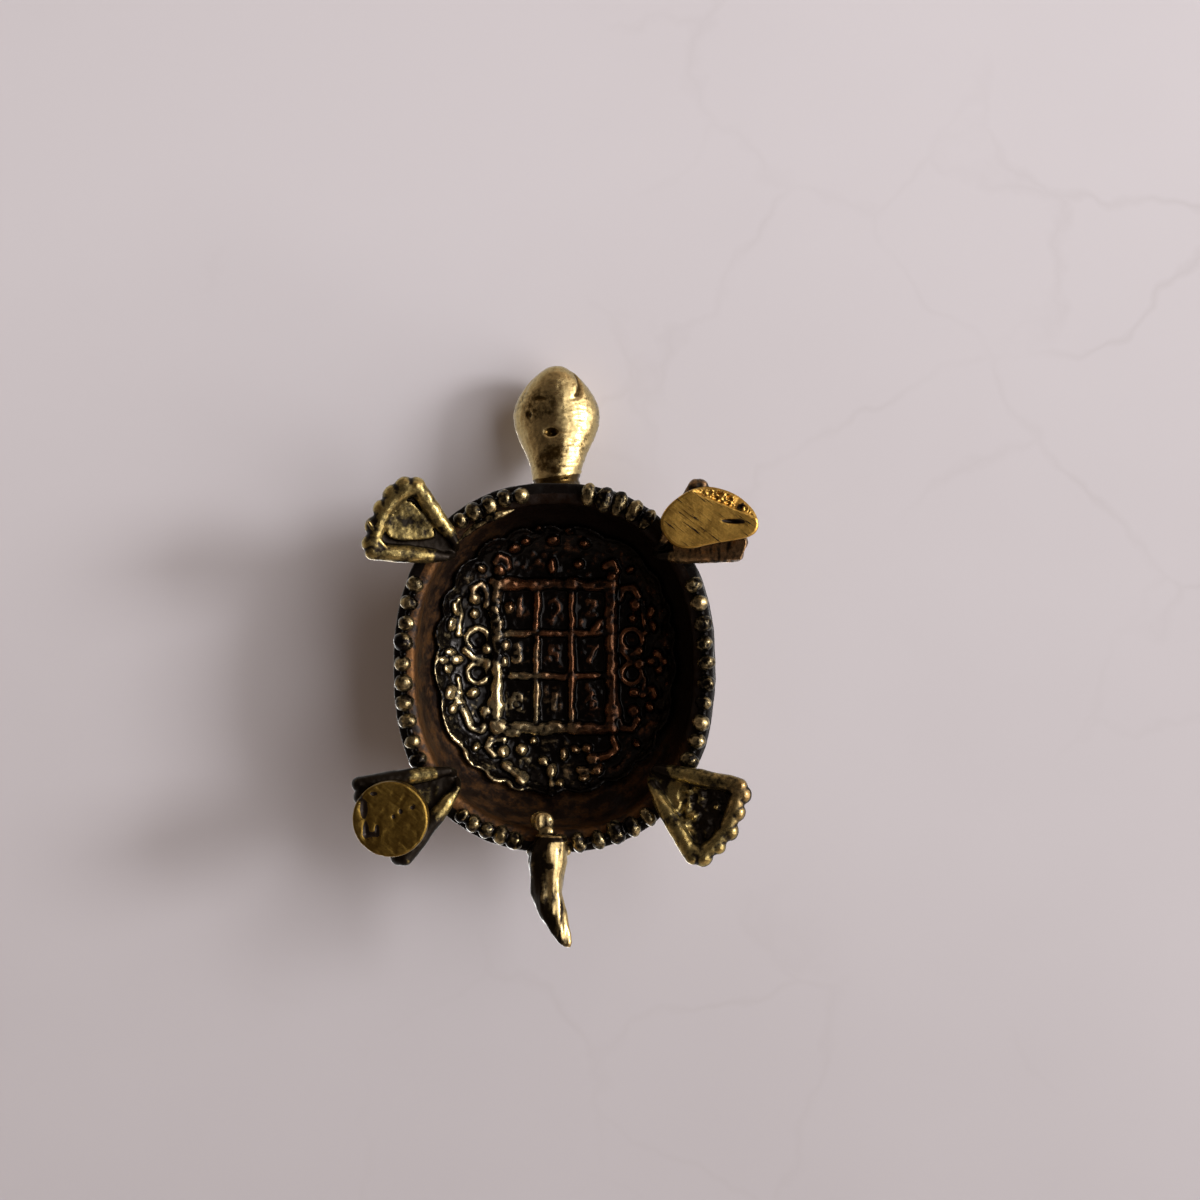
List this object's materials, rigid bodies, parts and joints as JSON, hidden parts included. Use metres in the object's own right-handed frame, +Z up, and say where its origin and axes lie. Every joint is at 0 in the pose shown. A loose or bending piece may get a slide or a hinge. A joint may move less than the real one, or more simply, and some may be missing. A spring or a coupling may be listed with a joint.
{
  "type": "turtle figurine",
  "caption": "Small hollow brass turtle figurine with a domed shell, an ornamental crown plate, a beaded rim, fan-shaped feet, a curved tail and two filed soles.",
  "frame": {"origin": "middle of the bounding box's bottom face, on the table under the standing turtle", "axes": "+Z up from the table, -Y towards the head, +Y towards the tail, +X towards the turtle's left side"},
  "size_m": [0.0632, 0.0908, 0.024],
  "materials": {
    "antique_brass": "cast brass with a brown-black patina, rubbed bright on edges and high places",
    "ornament_brass": "cast brass, near-black in the ground and rubbed golden on the raised lines",
    "filed_brass": "filed flat, with file marks in one direction, then toned dark"
  },
  "bodies": {
    "root": {"shell": "antique_brass", "crown_plate": "ornament_brass", "rim_beads_side_left": "antique_brass", "rim_beads_side_right": "antique_brass", "rim_beads_front_left": "antique_brass", "rim_beads_front_right": "antique_brass", "rim_beads_rear_left": "antique_brass", "rim_beads_rear_right": "antique_brass", "head": "antique_brass", "tail": "antique_brass", "front_right_leg": "antique_brass", "front_left_leg": "antique_brass", "rear_right_leg": "antique_brass", "rear_left_leg": "antique_brass", "front_left_sole": "filed_brass", "rear_right_sole": "filed_brass"}
  },
  "joints": []
}
